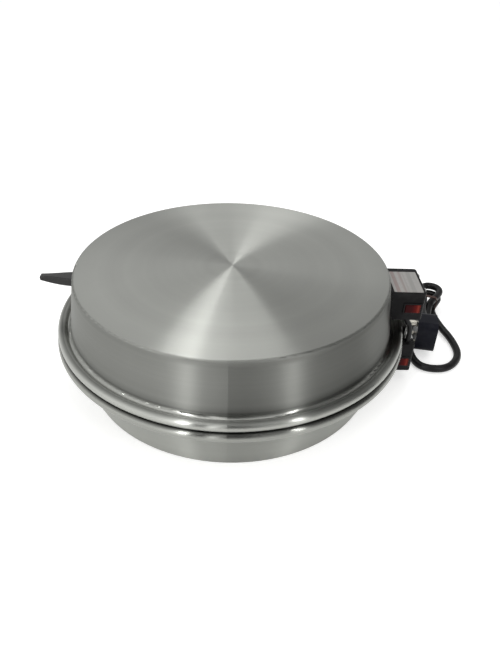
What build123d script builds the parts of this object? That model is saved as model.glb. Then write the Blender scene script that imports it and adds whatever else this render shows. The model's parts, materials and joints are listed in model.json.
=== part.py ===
from build123d import *
from math import cos, pi, radians, sin, sqrt, tan
import os

os.makedirs("parts", exist_ok=True)

# Round electric tandoor: two spun pans, hinged at the back between two terminal boxes.
# +Z is up, the handle points to -Y, the boxes and the hinge are at +Y.
# The origin is on the pans' axis, at the table. All sizes are in millimetres.

# Pans: the radius to the base's rolled rim drives both
sheet = 1.5
rim_radius = 172.8
base_height = 62.0
lid_height = 60.2
lid_gap = 0.3
base_bead = 5.0
lid_bead = 4.8
base_taper = 0.4
base_corner = 3.0
lid_taper = 0.147
lid_corner = 2.5
rim_step = 1.3
rim_flange = 7.35
cove = 3.0
lid_low = base_height + lid_gap
lid_top = lid_low + lid_height
base_bead_z = base_height - base_bead
lid_bead_z = lid_low + lid_bead
lid_bead_radius = rim_radius - rim_step
base_foot_radius = rim_radius - base_taper * base_bead_z
lid_top_radius = lid_bead_radius - rim_flange - lid_taper * (lid_top - lid_bead_z)

# Hinge axis, just outside the rims, and the boxes' outer end
hinge_reach = 6.2
box_over_hinge = 7.0
hinge_y = rim_radius + base_bead + hinge_reach
box_end = hinge_y + box_over_hinge

# Terminal boxes
box_near = 27.5
box_far = -22.5
box_wall = 2.5
box_corner = 3.0
upper_box_height = 31.2
upper_box_drop = 10.9
lower_box_low = 15.0
lower_box_drop = 13.0
pan_clearance = 0.4
cover_skirt = 6.5
cover_sheet = 2.0
skirt_sheet = 1.3
cover_clearance = 0.15
cover_edge = 1.2
cover_screw_x = 14.0
cover_screw_radius = 1.4
cover_screw_length = 6.5
cover_screw_head = 2.7
cover_screw_drop = 3.4
boss_width = 7.0
box_screw_inset = 7.0
box_screw_radius = 1.75
box_screw_head = 3.4
box_screw_head_height = 2.0
box_screw_drop = 6.0
boss_from_hinge = 15.0
screw_tip_gap = 1.0
upper_box_high = lid_top - upper_box_drop
upper_box_low = upper_box_high - upper_box_height
lower_box_high = base_height - lower_box_drop
upper_box_screw_z = upper_box_low + box_screw_drop
lower_box_screw_z = lower_box_high - box_screw_drop
boss_end_y = hinge_y - boss_from_hinge
box_screw_end_y = boss_end_y - screw_tip_gap
box_mid = (box_near + box_far) / 2

# Heating elements
tube_radius = 3.5
element_inset = 38.0
leg_spacing = 28.0
leg_from_hinge = 12.0
element_pin_radius = 1.5
element_pin_length = 4.0
element_bend = 24.0
element_join_angle = 62.0
lower_element_drop = 30.0
upper_element_drop = 21.5
tube_clearance = 0.1
bushing_radius = 5.0
bushing_flange_radius = 7.5
bushing_flange = 2.5
bushing_short = 2.5
nut_across = 13.0
nut_length = 3.5
nut_clearance = 0.3
clip_width = 9.0
clip_sheet = 1.2
clip_foot = 13.0
clip_angles = (20, 160, 235, 305)
rivet_radius = 2.0
rivet_head_radius = 3.4
rivet_head_height = 1.6
rivet_inset = 8.5
element_radius = base_foot_radius - element_inset
leg_end_y = hinge_y - leg_from_hinge
element_pin_end_y = leg_end_y + element_pin_length
element_bend_y = element_radius + element_bend
lower_element_z = base_height - lower_element_drop
upper_element_z = lid_top - upper_element_drop
bushing_end_y = leg_end_y - bushing_short
leg_xs = (box_mid - leg_spacing / 2, box_mid + leg_spacing / 2)
box_screw_xs = (box_far + box_screw_inset, box_near - box_screw_inset)
rivet_circle = element_radius - rivet_inset

# Indicator lamps
lamp_from_end = 11.5
upper_lamp_rise = 13.6
lower_lamp_rise = 12.5
lens_length = 15.5
lens_height = 9.0
lens_proud = 1.8
lens_depth = 4.0
bezel_border = 1.8
bezel_proud = 1.1
bezel_depth = 6.4
neck_wall = 0.8
bulb_radius = 2.3
bulb_length = 13.0
bulb_gap = 0.3
lamp_y = box_end - lamp_from_end
upper_lamp_z = upper_box_low + upper_lamp_rise
lower_lamp_z = lower_box_low + lower_lamp_rise

# Plate on the upper box's cover
plate_length = 29.0
plate_width = 40.0
plate_sheet = 0.4
plate_from_end = 17.5
plate_from_near = 21.5
plate_x = box_near - plate_from_near
plate_y = box_end - plate_from_end

# Terminal blocks and wires inside the boxes
block_width = 20.0
block_depth = 9.4
block_height = 10.0
block_from_end = 8.8
block_screw_radius = 1.6
block_screw_head = 1.4
wire_radius = 1.1
wire_bend = 1.4
leg_wire_reach = 3.2
lamp_wires_from_end = (9.0, 6.0)
block_y = box_end - block_from_end
leg_wire_y = element_pin_end_y + leg_wire_reach

# Hinge
hinge_pin_radius = 1.6
pin_clearance = 0.05
pin_head_radius = 2.7
pin_head_height = 1.2
knuckle_radius = 3.6
knuckle_gap = 0.4
hinge_half_width = 14.5
middle_knuckle = 6.8
leaf_sheet = 1.5
hinge_screw_x = 10.0
hinge_screw_radius = 1.5
hinge_screw_head = 2.8
hinge_screw_head_height = 1.7
lid_foot_length = 16.0
lid_foot_screw = 11.0
base_foot_short = 0.6
base_foot_screw = 2.5
lid_foot_y = hinge_y - lid_foot_length
lid_foot_screw_y = hinge_y - lid_foot_screw
base_foot_y = box_end - base_foot_short
base_foot_screw_y = hinge_y + base_foot_screw

# Flexible lead between the boxes
lead_radius = 2.5
lead_hole = 0.4
lead_from_mid = 19.0
lead_top_back = 8.0
lead_low_back = 0.6
lead_bow = 0.8
lead_x = box_mid + lead_from_mid
lead_top_y = hinge_y - lead_top_back
lead_low_y = hinge_y - lead_low_back

# Handle
handle_drop = 20.5
handle_length = 38.0
handle_waist_at = 21.0
handle_root_in = 6.0
handle_root_out = 4.0
handle_root = (17.0, 8.5)
handle_waist = (11.0, 8.5)
handle_tip = (8.0, 4.5)
handle_tip_rise = 1.8
handle_round = 1.6
handle_screw_radius = 2.5
handle_screw_head = 4.4
handle_screw_head_height = 2.6
handle_screw_depth = 14.0
washer_radius = 6.5
washer_sheet = 1.2
handle_z = lid_top - handle_drop

# Wire grill and baking tray
grill_drop = 18.5
grill_inset = 9.0
grill_wire = 2.0
grill_bar = 1.5
grill_bar_lift = 2.6
grill_bar_over = 1.0
grill_leg = 2.2
grill_pitch = 22.0
grill_legs = (45, 135, 225, 315)
tray_inset = 22.0
tray_depth = 12.0
tray_sheet = 1.2
tray_flare = 3.0
tray_lip = 4.0
seat_gap = 0.3
grill_z = base_height - grill_drop
grill_radius = base_foot_radius - grill_inset
tray_radius = grill_radius - tray_inset

# Cord, its bundle, tie and plug
cord_radius = 4.25
table_gap = 0.1
gland_from_hinge = 8.0
gland_rise = 17.0
gland_radius = 8.0
gland_neck = 6.0
gland_neck_depth = 4.0
gland_flange = 3.0
relief_length = 24.0
relief_root = 7.0
relief_wall = 1.3
cord_clearance = 0.1
layer_gap = 1.3
tie_sheet = 1.0
tie_width = 4.0
tie_clearance = 0.25
tie_lift = 1.3
bundle_x = -84.0
bundle_from_box = 43.0
bundle_angle = 160.0
fold_radius = 9.5
far_fold = 57.0
near_fold = -30.0
waist_at = 18.0
waist_half = 5.1
plug_x = -29.0
plug_from_box = 27.6
plug_angle = 170.0
plug_length = 32.0
plug_thick = 22.0
plug_low = 9.0
plug_height = 36.0
plug_round = 8.0
plug_relief = 16.0
plug_relief_root = 7.45
plug_pin_length = 19.0
plug_pin_radius = 2.5
earth_pin_radius = 3.4
plug_pin_spacing = 8.5
plug_pin_low = 9.0
plug_earth_high = 28.0
gland_y = hinge_y - gland_from_hinge
bundle_y = box_end + bundle_from_box
plug_y = box_end + plug_from_box
gland_z = lower_box_low + gland_rise
cord_lie = cord_radius + table_gap
layer = 2 * cord_radius + layer_gap

# Y inside every wall, where cuts and blanks near the back start
inside_y = base_foot_radius - 12.0


def save(part, name):
    part.label = name
    export_step(part, "parts/" + name + ".step")


def lid_wall(z):
    """Outer radius of the lid's wall at a height."""
    return lid_top_radius + lid_taper * (lid_top - z)


def base_wall(z):
    """Outer radius of the base's wall at a height."""
    return base_foot_radius + base_taper * z


def block(x0, x1, y0, y1, z0, z1, mode=Mode.ADD):
    """A box between two corners."""
    with Locations(((x0 + x1) / 2, (y0 + y1) / 2, (z0 + z1) / 2)):
        Box(abs(x1 - x0), abs(y1 - y0), abs(z1 - z0), mode=mode)


def rod_y(x, z, y0, y1, radius, mode=Mode.ADD):
    """A round bar along Y."""
    with Locations((x, (y0 + y1) / 2, z)):
        Cylinder(radius, abs(y1 - y0), rotation=(90, 0, 0), mode=mode)


def rod_x(y, z, x0, x1, radius, mode=Mode.ADD):
    """A round bar along X."""
    with Locations(((x0 + x1) / 2, y, z)):
        Cylinder(radius, abs(x1 - x0), rotation=(0, 90, 0), mode=mode)


def rod_z(x, y, z0, z1, radius, mode=Mode.ADD):
    """A round bar along Z."""
    with Locations((x, y, (z0 + z1) / 2)):
        Cylinder(radius, abs(z1 - z0), mode=mode)


def seat_y(wall_radius, x, reach):
    """Y just inside a round wall, for a flat piece that reaches this far from x."""
    return sqrt(wall_radius**2 - (abs(x) + reach) ** 2) - 0.1


def biarc(p0, t0, p1, t1):
    """Two arcs that leave p0 along t0 and reach p1 along t1."""
    chord = p1 - p0
    both = t0 + t1
    spread = 2 * (1 - t0.dot(t1))
    if spread < 1e-9:
        d = chord.dot(chord) / (4 * chord.dot(t1))
    else:
        across = chord.dot(both)
        d = (sqrt(across**2 + spread * chord.dot(chord)) - across) / spread
    middle = (p0 + p1 + (t0 - t1) * d) * 0.5
    tangent = ((p1 - t1 * d) - (p0 + t0 * d)).normalized()
    for start, direction, end in ((p0, t0, middle), (middle, tangent, p1)):
        if (end - start).normalized().dot(direction) > 0.9999999:
            Line(start, end)
        else:
            TangentArc((start, end), tangent=direction)


def corner_radii(points):
    """As large an arc at each corner as its two runs allow."""
    radii = []
    for before, here, after in zip(points, points[1:], points[2:]):
        a = Vector(*here) - Vector(*before)
        b = Vector(*after) - Vector(*here)
        turn = radians(a.get_angle(b))
        radii.append(0.45 * min(a.length, b.length) / tan(turn / 2))
    return radii


def bundle_point(u, v, z, heading, slope=0.0):
    """A place in the bundle: u along it, v across it, with the cord's direction there."""
    a = radians(bundle_angle)
    x = bundle_x + u * cos(a) + v * sin(a)
    y = bundle_y + u * sin(a) - v * cos(a)
    return x, y, z, bundle_angle + heading, slope


def direction_of(heading, slope):
    h = radians(heading)
    return Vector(cos(h), sin(h), slope).normalized()


# Base pan: flat bottom, tapered wall, rolled bead
with BuildPart() as base_pan:
    wall_top = base_bead_z - 4.0
    with BuildSketch(Plane.XZ):
        with BuildLine():
            Polyline(
                (0, 0),
                (base_foot_radius, 0),
                (base_wall(wall_top), wall_top),
                (rim_radius, base_bead_z),
                (rim_radius - 0.5, base_height - 0.15),
                (base_wall(wall_top) - sheet - 0.4, base_bead_z + 1.5),
                (base_wall(wall_top) - sheet * 1.1, wall_top),
                (base_wall(sheet) - sheet * 1.1, sheet),
                (0, sheet),
                close=True,
            )
        make_face()
        with Locations((rim_radius, base_bead_z)):
            Circle(base_bead)
    revolve(axis=Axis.Z)
    fillet(base_pan.edges().filter_by(GeomType.CIRCLE).group_by(Axis.Z)[0], base_corner)
    for x in leg_xs:
        rod_y(x, lower_element_z, inside_y, box_end, bushing_radius + tube_clearance, Mode.SUBTRACT)
    for x in box_screw_xs:
        rod_y(x, lower_box_screw_z, inside_y, box_end, box_screw_radius + tube_clearance, Mode.SUBTRACT)
    for angle in clip_angles:
        a = radians(angle)
        rod_z(rivet_circle * cos(a), rivet_circle * sin(a), -1, 5, rivet_radius + 0.05, Mode.SUBTRACT)
save(base_pan.part, "base_pan")

# Lid pan: flat turned top, flared wall, cove and rolled bead
with BuildPart() as lid_pan:
    cove_top = lid_bead_z + lid_bead - 0.4
    cove_radius_in = lid_wall(cove_top)
    shelf = cove_top - cove
    with BuildSketch(Plane.XZ):
        with BuildLine():
            Polyline(
                (cove_radius_in, cove_top),
                (lid_top_radius, lid_top),
                (0, lid_top),
                (0, lid_top - sheet),
                (lid_top_radius - sheet * 1.1, lid_top - sheet),
                (cove_radius_in - sheet, shelf - sheet),
                (lid_bead_radius, shelf - sheet),
                (lid_bead_radius, shelf),
                (cove_radius_in + cove, shelf),
            )
            ThreePointArc(
                (cove_radius_in + cove, shelf),
                (cove_radius_in + cove * (1 - cos(radians(45))), cove_top - cove * sin(radians(45))),
                (cove_radius_in, cove_top),
            )
        make_face()
        with Locations((lid_bead_radius, lid_bead_z)):
            Circle(lid_bead)
    revolve(axis=Axis.Z)
    fillet(lid_pan.edges().filter_by(GeomType.CIRCLE).group_by(Axis.Z)[-1], lid_corner)
    for x in leg_xs:
        rod_y(x, upper_element_z, inside_y, box_end, bushing_radius + tube_clearance, Mode.SUBTRACT)
    for x in box_screw_xs:
        rod_y(x, upper_box_screw_z, inside_y, box_end, box_screw_radius + tube_clearance, Mode.SUBTRACT)
    rod_y(0, handle_z, -box_end, -inside_y, handle_screw_radius + tube_clearance, Mode.SUBTRACT)
save(lid_pan.part, "lid_pan")


def element(z):
    """Tubular heating element: an open ring whose two legs run back side by side."""
    join = radians(element_join_angle)
    with BuildPart() as made:
        with BuildLine() as route:
            left, right = leg_xs
            r = element_radius
            jx, jy = r * cos(join), r * sin(join)
            bend = element_bend_y
            Line((right, leg_end_y, z), (right, bend, z))
            biarc(
                Vector(right, bend, z), Vector(0, -1, 0),
                Vector(jx, jy, z), Vector(sin(join), -cos(join), 0),
            )
            side = (join - radians(90)) / 2
            ThreePointArc((jx, jy, z), (r * cos(side), r * sin(side), z), (0, -r, z))
            ThreePointArc((0, -r, z), (-r * cos(side), r * sin(side), z), (-jx, jy, z))
            biarc(
                Vector(-jx, jy, z), Vector(sin(join), cos(join), 0),
                Vector(left, bend, z), Vector(0, 1, 0),
            )
            Line((left, bend, z), (left, leg_end_y, z))
        with BuildSketch(Plane((right, leg_end_y, z), z_dir=(0, -1, 0))):
            Circle(tube_radius)
        sweep(path=route.wire())
        for x in leg_xs:
            rod_y(x, z, leg_end_y - 1, element_pin_end_y, element_pin_radius)
    return made.part


def element_clips(z, floor):
    """Steel clips that hold the ring off the pan, each a foot, an upright and a saddle."""
    side = 1 if z > floor else -1
    saddle = tube_radius + tube_clearance
    with BuildPart() as made:
        for angle in clip_angles:
            a = radians(angle)
            here = Location((element_radius * cos(a), element_radius * sin(a), 0), (0, 0, angle))
            with Locations(here):
                with Locations((-clip_foot / 2 + clip_sheet / 2, 0, floor + side * clip_sheet / 2)):
                    Box(clip_foot, clip_width, clip_sheet)
                rise = abs(z - floor) - saddle
                with Locations((0, 0, floor + side * rise / 2)):
                    Box(clip_sheet, clip_width, rise)
                with Locations((0, 0, z)):
                    Cylinder(saddle + clip_sheet, clip_width, rotation=(90, 0, 0))
                    Cylinder(saddle, clip_width + 2, rotation=(90, 0, 0), mode=Mode.SUBTRACT)
                if side > 0:
                    with Locations((-rivet_inset, 0, floor + clip_sheet / 2)):
                        Cylinder(rivet_radius + 0.05, clip_sheet + 2, mode=Mode.SUBTRACT)
    return made.part


def bushings(z, wall_radius):
    """Ceramic bushings that insulate the element's legs from the pan."""
    with BuildPart() as made:
        for x in leg_xs:
            y = seat_y(wall_radius, x, bushing_flange_radius)
            rod_y(x, z, y - bushing_flange, bushing_end_y, bushing_radius)
            rod_y(x, z, y - bushing_flange, y, bushing_flange_radius)
        for x in leg_xs:
            rod_y(x, z, inside_y, box_end, tube_radius + tube_clearance, Mode.SUBTRACT)
    return made.part


def bushing_nuts(z, y):
    """Hexagon nuts that hold the bushings from inside the terminal box."""
    with BuildPart() as made:
        for x in leg_xs:
            with BuildSketch(Plane((x, y, z), z_dir=(0, 1, 0))):
                RegularPolygon(nut_across / 2, 6, major_radius=False)
                Circle(bushing_radius + 0.05, mode=Mode.SUBTRACT)
        extrude(amount=nut_length)
    return made.part


save(element(lower_element_z), "lower_element")
save(element(upper_element_z), "upper_element")
save(element_clips(lower_element_z, sheet), "lower_element_clips")
save(element_clips(upper_element_z, lid_top - sheet), "upper_element_clips")
save(bushings(lower_element_z, base_wall(lower_element_z - 8) - sheet * 1.2), "lower_bushings")
save(bushings(upper_element_z, lid_wall(upper_element_z + 8) - sheet * 1.2), "upper_bushings")
lower_nut_y = base_wall(lower_element_z + nut_across / 2) + nut_clearance
upper_nut_y = lid_wall(upper_element_z - nut_across / 2) + nut_clearance
save(bushing_nuts(lower_element_z, lower_nut_y), "lower_bushing_nuts")
save(bushing_nuts(upper_element_z, upper_nut_y), "upper_bushing_nuts")

# Rivets that hold the lower clips to the base
with BuildPart() as clip_rivets:
    head_z = sheet + clip_sheet
    for angle in clip_angles:
        a = radians(angle)
        x, y = rivet_circle * cos(a), rivet_circle * sin(a)
        rod_z(x, y, table_gap + 0.1, head_z, rivet_radius)
        rod_z(x, y, head_z, head_z + rivet_head_height, rivet_head_radius)
    tops = clip_rivets.faces().group_by(Axis.Z)[-1].edges()
    fillet(tops, rivet_head_height * 0.7)
save(clip_rivets.part, "clip_rivets")


def pan_cutter(radius_at, z0, z1):
    """Takes the pan's room, with its clearance, out of a piece."""
    low, high = radius_at(z0) + pan_clearance, radius_at(z1) + pan_clearance
    with Locations((0, 0, (z0 + z1) / 2)):
        Cone(low, high, z1 - z0, mode=Mode.SUBTRACT)


def round_box_ends(made):
    """Rounds the two upright edges at the box's outer end."""
    ends = made.edges().filter_by(Axis.Z).filter_by(lambda e: abs(e.center().Y - box_end) < 0.01)
    fillet(ends, box_corner)


def box_body(low, high, cover_up, radius_at, screw_z, lamp_z):
    """Moulded terminal box, open to the pan and to its cover."""
    cover_z = high if cover_up else low
    closed_z = low if cover_up else high
    way = 1 if cover_up else -1
    rebate = cover_z - way * (cover_skirt + cover_clearance)
    inset = skirt_sheet + cover_clearance
    inner_closed = closed_z + way * box_wall
    rim = cover_z - way * (cover_sheet + cover_clearance)
    screw_at = cover_z - way * cover_screw_drop
    with BuildPart() as made:
        block(box_far, box_near, inside_y, box_end, closed_z, rebate)
        round_box_ends(made)
        block(box_far + inset, box_near - inset, inside_y, box_end - inset, rebate, rim)
        block(
            box_far + box_wall, box_near - box_wall, inside_y - 5, box_end - box_wall,
            inner_closed, cover_z, Mode.SUBTRACT,
        )
        for side, x in zip((-1, 1), box_screw_xs):
            outer = x + side * (box_screw_inset - box_wall + 0.5)
            half = boss_width / 2
            block(x - side * half, outer, inside_y, boss_end_y, screw_z - half, screw_z + half)
            rod_y(x, screw_z, inside_y, boss_end_y + 1, box_screw_radius + 0.05, Mode.SUBTRACT)
        for side in (-1, 1):
            x = box_mid + side * cover_screw_x
            y = box_end - inset
            block(x - 3, x + 3, y - 4.5, y, screw_at - way * 2.6, screw_at + way * 1.1)
            rod_y(x, screw_at, y - 8, y + 2, cover_screw_radius + 0.05, Mode.SUBTRACT)
        pan_cutter(radius_at, low - 1, high + 1)
        neck_y = lens_length / 2 + neck_wall + 0.1
        neck_z = lens_height / 2 + neck_wall + 0.1
        block(
            box_near - 6, box_near + 2, lamp_y - neck_y, lamp_y + neck_y,
            lamp_z - neck_z, lamp_z + neck_z, Mode.SUBTRACT,
        )
        if cover_up:
            rod_z(lead_x, lead_top_y, low - 1, low + 4, lead_radius + lead_hole, Mode.SUBTRACT)
            for side in (-1, 1):
                x = box_mid + side * hinge_screw_x
                rod_z(x, lid_foot_screw_y, low - 1, low + 4, hinge_screw_radius + 0.05, Mode.SUBTRACT)
        else:
            rod_z(lead_x, lead_low_y, high - 4, high + 1, lead_radius + lead_hole, Mode.SUBTRACT)
            rod_x(gland_y, gland_z, box_far - 2, box_far + 6, gland_neck + 0.1, Mode.SUBTRACT)
            for side in (-1, 1):
                x = box_mid + side * hinge_screw_x
                rod_z(x, base_foot_screw_y, high - 4, high + 1, hinge_screw_radius + 0.05, Mode.SUBTRACT)
    return made.part


def box_cover(low, high, cover_up, radius_at):
    """Moulded cover with a skirt round three sides of the box."""
    cover_z = high if cover_up else low
    way = 1 if cover_up else -1
    skirt_z = cover_z - way * cover_skirt
    under = cover_z - way * cover_sheet
    screw_at = cover_z - way * cover_screw_drop
    with BuildPart() as made:
        block(box_far, box_near, inside_y, box_end, skirt_z, cover_z)
        round_box_ends(made)
        faces = made.faces().sort_by(Axis.Z)
        face = faces[-1] if cover_up else faces[0]
        rims = face.edges().filter_by(lambda e: e.center().Y > inside_y + 5)
        fillet(rims, cover_edge)
        block(
            box_far + skirt_sheet, box_near - skirt_sheet, inside_y - 5, box_end - skirt_sheet,
            skirt_z - way, under, Mode.SUBTRACT,
        )
        for side in (-1, 1):
            x = box_mid + side * cover_screw_x
            rod_y(x, screw_at, box_end - 4, box_end + 2, cover_screw_radius + 0.15, Mode.SUBTRACT)
        pan_cutter(radius_at, low - 1, high + 1)
    return made.part


def cover_screws(cover_z, way):
    """Two screws through the cover's skirt into the box."""
    z = cover_z - way * cover_screw_drop
    with BuildPart() as made:
        for side in (-1, 1):
            x = box_mid + side * cover_screw_x
            rod_y(x, z, box_end, box_end - cover_screw_length, cover_screw_radius)
            rod_y(x, z, box_end, box_end + 1.4, cover_screw_head)
        fillet(made.faces().group_by(Axis.Y)[-1].edges(), 0.9)
        for side in (-1, 1):
            x = box_mid + side * cover_screw_x
            block(x - 2.0, x + 2.0, box_end + 0.7, box_end + 2, z - 0.35, z + 0.35, Mode.SUBTRACT)
            block(x - 0.35, x + 0.35, box_end + 0.7, box_end + 2, z - 2.0, z + 2.0, Mode.SUBTRACT)
    return made.part


def box_screws(z, wall_radius):
    """Two screws from inside the pan into the box's bosses."""
    with BuildPart() as made:
        for x in box_screw_xs:
            y = seat_y(wall_radius, x, box_screw_head)
            rod_y(x, z, y, box_screw_end_y, box_screw_radius)
            rod_y(x, z, y - box_screw_head_height, y, box_screw_head)
            block(
                x - 2.4, x + 2.4, y - box_screw_head_height - 1, y - box_screw_head_height + 0.8,
                z - 0.4, z + 0.4, Mode.SUBTRACT,
            )
    return made.part


def lamp_bezel(z):
    """Frame that snaps into the box's near wall and holds the lens."""
    half_y, half_z = lens_length / 2, lens_height / 2
    with BuildPart() as made:
        block(
            box_near, box_near + bezel_proud, lamp_y - half_y - bezel_border, lamp_y + half_y + bezel_border,
            z - half_z - bezel_border, z + half_z + bezel_border,
        )
        fillet(made.edges().filter_by(Axis.X), 1.2)
        fillet(made.faces().sort_by(Axis.X)[-1].edges(), 0.5)
        block(
            box_near - bezel_depth, box_near, lamp_y - half_y - neck_wall, lamp_y + half_y + neck_wall,
            z - half_z - neck_wall, z + half_z + neck_wall,
        )
        block(
            box_near - bezel_depth - 1, box_near + 3, lamp_y - half_y - 0.05, lamp_y + half_y + 0.05,
            z - half_z - 0.05, z + half_z + 0.05, Mode.SUBTRACT,
        )
    return made.part


def lamp_lens(z):
    """Red window, a little crowned."""
    half_y, half_z = lens_length / 2, lens_height / 2
    with BuildPart() as made:
        block(
            box_near - lens_depth, box_near + lens_proud,
            lamp_y - half_y, lamp_y + half_y, z - half_z, z + half_z,
        )
        fillet(made.faces().sort_by(Axis.X)[-1].edges(), 0.8)
    return made.part


def lamp_bulb(z):
    """Small neon tube behind the window."""
    x = box_near - lens_depth - bulb_gap - bulb_radius
    with BuildPart() as made:
        rod_y(x, z, lamp_y - bulb_length / 2, lamp_y + bulb_length / 2, bulb_radius)
        fillet(made.edges().filter_by(GeomType.CIRCLE), 1.2)
    return made.part


def terminal_block(floor, way):
    """Ceramic block on the box's closed side, with its two rows of screws left open."""
    with BuildPart() as made:
        top = floor + way * block_height
        half = block_width / 2
        block(
            box_mid - half, box_mid + half,
            block_y - block_depth / 2, block_y + block_depth / 2, floor, top,
        )
        fillet(made.edges().filter_by(Axis.Z), 0.8)
        for side in (-1, 1):
            x = box_mid + side * half / 2
            rod_z(x, block_y, top - way * 4, top + way, block_screw_radius + 0.1, Mode.SUBTRACT)
    return made.part


def terminal_screws(floor, way):
    """Brass screws in the terminal block."""
    top = floor + way * block_height
    with BuildPart() as made:
        for side in (-1, 1):
            x = box_mid + side * block_width / 4
            rod_z(x, block_y, top - way * 3.9, top + way * 0.2, block_screw_radius)
            rod_z(x, block_y, top + way * 0.1, top + way * (0.1 + block_screw_head), block_screw_radius + 0.8)
    return made.part


def box_wires(leg_z, block_z, lamp_z):
    """Inner wires: two from the element's pins and two from the lamp, to the block."""
    back = box_near - lens_depth - bulb_gap - 2 * bulb_radius
    routes = []
    for side, x in zip((-1, 1), leg_xs):
        at = box_mid + side * block_width / 2
        routes.append(
            [
                (x, element_pin_end_y, leg_z), (x, leg_wire_y, leg_z),
                (x, leg_wire_y, block_z), (at, leg_wire_y, block_z),
            ]
        )
    for from_end in lamp_wires_from_end:
        y = box_end - from_end
        at = box_mid + block_width / 2
        mid = (back + at) / 2
        routes.append([(back, y, lamp_z), (mid, y, lamp_z), (mid, y, block_z), (at, y, block_z)])
    with BuildPart() as made:
        for points in routes:
            with BuildLine(mode=Mode.PRIVATE) as route:
                FilletPolyline(*points, radius=wire_bend)
            start = Vector(*points[0])
            with BuildSketch(Plane(start, z_dir=Vector(*points[1]) - start)):
                Circle(wire_radius)
            sweep(path=route.wire())
    return made.part


# Flexible lead from the lower box to the upper box, past the hinge pin's end
lead_points = [
    (lead_x, lead_top_y, upper_box_low + 6.0),
    (lead_x, lead_top_y, upper_box_low - 1.9),
    (lead_x, hinge_y + lead_bow, base_height + 4.5),
    (lead_x, hinge_y - lead_bow, lower_box_high - 5.0),
]
with BuildPart() as box_lead:
    with BuildLine() as route:
        FilletPolyline(*lead_points, radius=corner_radii(lead_points))
    with BuildSketch(Plane(lead_points[0], z_dir=(0, 0, -1))):
        Circle(lead_radius)
    sweep(path=route.wire())
print("box_lead radii", [round(r, 1) for r in corner_radii(lead_points)])
save(box_lead.part, "box_lead")

upper = (upper_box_low, upper_box_high, True, lid_wall)
lower = (lower_box_low, lower_box_high, False, base_wall)
save(box_body(*upper, upper_box_screw_z, upper_lamp_z), "upper_box_body")
save(box_body(*lower, lower_box_screw_z, lower_lamp_z), "lower_box_body")
save(box_cover(*upper), "upper_box_cover")
save(box_cover(*lower), "lower_box_cover")
save(cover_screws(upper_box_high, 1), "upper_cover_screws")
save(cover_screws(lower_box_low, -1), "lower_cover_screws")
save(box_screws(upper_box_screw_z, lid_wall(upper_box_screw_z + 4) - sheet * 1.2), "upper_box_screws")
save(box_screws(lower_box_screw_z, base_wall(lower_box_screw_z - 4) - sheet * 1.2), "lower_box_screws")
save(lamp_bezel(upper_lamp_z), "upper_lamp_bezel")
save(lamp_bezel(lower_lamp_z), "lower_lamp_bezel")
save(lamp_lens(upper_lamp_z), "upper_lamp_lens")
save(lamp_lens(lower_lamp_z), "lower_lamp_lens")
save(lamp_bulb(upper_lamp_z), "upper_lamp_bulb")
save(lamp_bulb(lower_lamp_z), "lower_lamp_bulb")

upper_floor = upper_box_low + box_wall
lower_floor = lower_box_high - box_wall
save(terminal_block(upper_floor, 1), "upper_terminal_block")
save(terminal_block(lower_floor, -1), "lower_terminal_block")
save(terminal_screws(upper_floor, 1), "upper_terminal_screws")
save(terminal_screws(lower_floor, -1), "lower_terminal_screws")
save(box_wires(upper_element_z, upper_floor + block_height / 2, upper_lamp_z), "upper_wires")
save(box_wires(lower_element_z, lower_floor - block_height / 2, lower_lamp_z), "lower_wires")

# Plain plate on the upper cover
with BuildPart() as cover_plate:
    half_x, half_y = plate_width / 2, plate_length / 2
    block(
        plate_x - half_x, plate_x + half_x, plate_y - half_y, plate_y + half_y,
        upper_box_high, upper_box_high + plate_sheet,
    )
    fillet(cover_plate.edges().filter_by(Axis.Z), 1.0)
save(cover_plate.part, "cover_plate")


def leaf(plate_z0, plate_z1, outer_z, middle_z, foot_y, foot_z, screw_y, middle):
    """Hinge leaf: knuckles, an upright plate with room for the other leaf, and a foot."""
    plate_y = hinge_y - knuckle_radius
    inner = middle_knuckle + knuckle_gap
    ends = ((-hinge_half_width, -inner), (inner, hinge_half_width))
    spans = ((-middle_knuckle, middle_knuckle),) if middle else ends
    with BuildPart() as made:
        for x0, x1 in spans:
            rod_x(hinge_y, base_height, box_mid + x0, box_mid + x1, knuckle_radius)
            block(box_mid + x0, box_mid + x1, plate_y, plate_y + leaf_sheet, plate_z0, plate_z1)
        block(
            box_mid - hinge_half_width, box_mid + hinge_half_width, plate_y, plate_y + leaf_sheet,
            outer_z, foot_z,
        )
        y0, y1 = sorted((plate_y + (leaf_sheet if middle else 0), foot_y))
        block(box_mid - hinge_half_width, box_mid + hinge_half_width, y0, y1, foot_z, middle_z)
        bore = hinge_pin_radius + pin_clearance
        rod_x(hinge_y, base_height, box_mid - 30, box_mid + 30, bore, Mode.SUBTRACT)
        for side in (-1, 1):
            x = box_mid + side * hinge_screw_x
            rod_z(x, screw_y, foot_z - 3, foot_z + 3, hinge_screw_radius + 0.1, Mode.SUBTRACT)
    return made.part


clear_of_knuckles = knuckle_radius + knuckle_gap
lid_foot_z = upper_box_low - leaf_sheet
base_foot_z = lower_box_high + leaf_sheet
save(
    leaf(base_height, lid_foot_z, base_height + clear_of_knuckles, upper_box_low,
         lid_foot_y, lid_foot_z, lid_foot_screw_y, True),
    "hinge_lid_leaf",
)
save(
    leaf(base_height, base_foot_z, base_height - clear_of_knuckles, lower_box_high,
         base_foot_y, base_foot_z, base_foot_screw_y, False),
    "hinge_base_leaf",
)

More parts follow.
